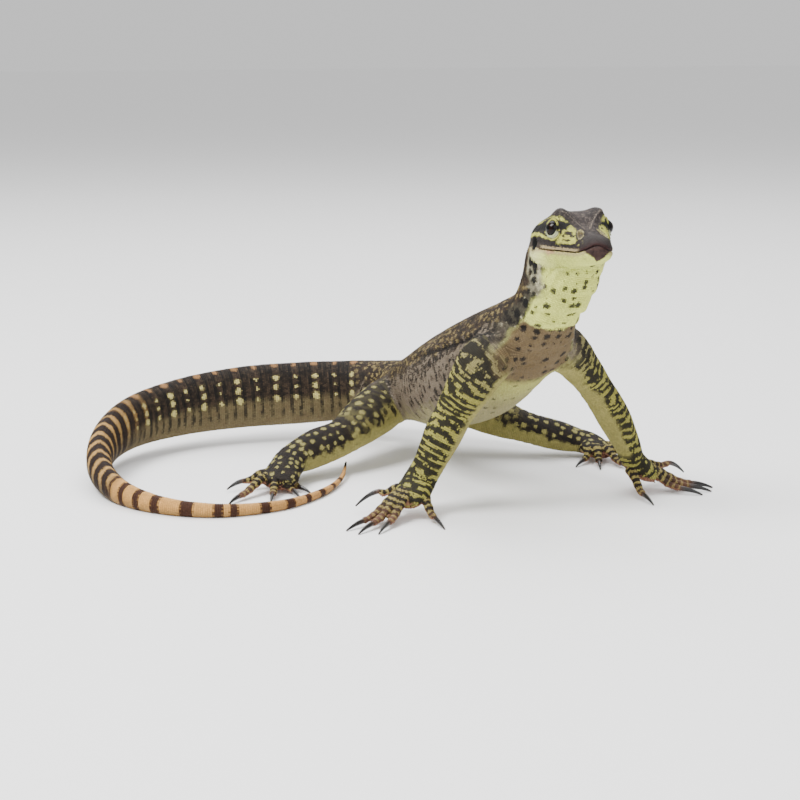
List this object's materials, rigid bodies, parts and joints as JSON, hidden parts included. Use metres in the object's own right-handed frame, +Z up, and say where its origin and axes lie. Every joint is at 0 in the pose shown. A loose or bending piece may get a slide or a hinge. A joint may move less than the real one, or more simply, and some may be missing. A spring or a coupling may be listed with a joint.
{
  "type": "argus monitor",
  "caption": "Slim young Argus monitor lizard standing with its head raised on straight forelegs, its long tail swept round its right side and down to the floor.",
  "frame": {"origin": "on the floor, under the centre of the box around the whole animal", "axes": "+X towards the animal's own left, -Y the way it faces, +Z up from the floor; the tail curls round on the -X side"},
  "size_m": [0.2446, 0.2219, 0.1247],
  "materials": {
    "skin": "fine dry scales with a low sheen",
    "tail_skin": "dry scales in rings with a low sheen",
    "eye": "wet gloss",
    "claw": "smooth polished horn"
  },
  "bodies": {
    "root": {"head": "skin", "lower_jaw": "skin", "neck": "skin", "chest": "skin", "belly": "skin", "hips": "skin", "eye_left": "eye", "eye_right": "eye", "tail_1": "tail_skin", "tail_2": "tail_skin", "tail_3": "tail_skin", "tail_4": "tail_skin", "tail_5": "tail_skin", "tail_6": "tail_skin", "tail_7": "tail_skin", "upper_arm_left": "skin", "forearm_left": "skin", "hand_left": "skin", "hand_left_claw_1": "claw", "hand_left_claw_2": "claw", "hand_left_claw_3": "claw", "hand_left_claw_4": "claw", "hand_left_claw_5": "claw", "upper_arm_right": "skin", "forearm_right": "skin", "hand_right": "skin", "hand_right_claw_1": "claw", "hand_right_claw_2": "claw", "hand_right_claw_3": "claw", "hand_right_claw_4": "claw", "hand_right_claw_5": "claw", "thigh_left": "skin", "shank_left": "skin", "foot_left": "skin", "foot_left_claw_1": "claw", "foot_left_claw_2": "claw", "foot_left_claw_3": "claw", "foot_left_claw_4": "claw", "foot_left_claw_5": "claw", "thigh_right": "skin", "shank_right": "skin", "foot_right": "skin", "foot_right_claw_1": "claw", "foot_right_claw_2": "claw", "foot_right_claw_3": "claw", "foot_right_claw_4": "claw", "foot_right_claw_5": "claw"}
  },
  "joints": []
}
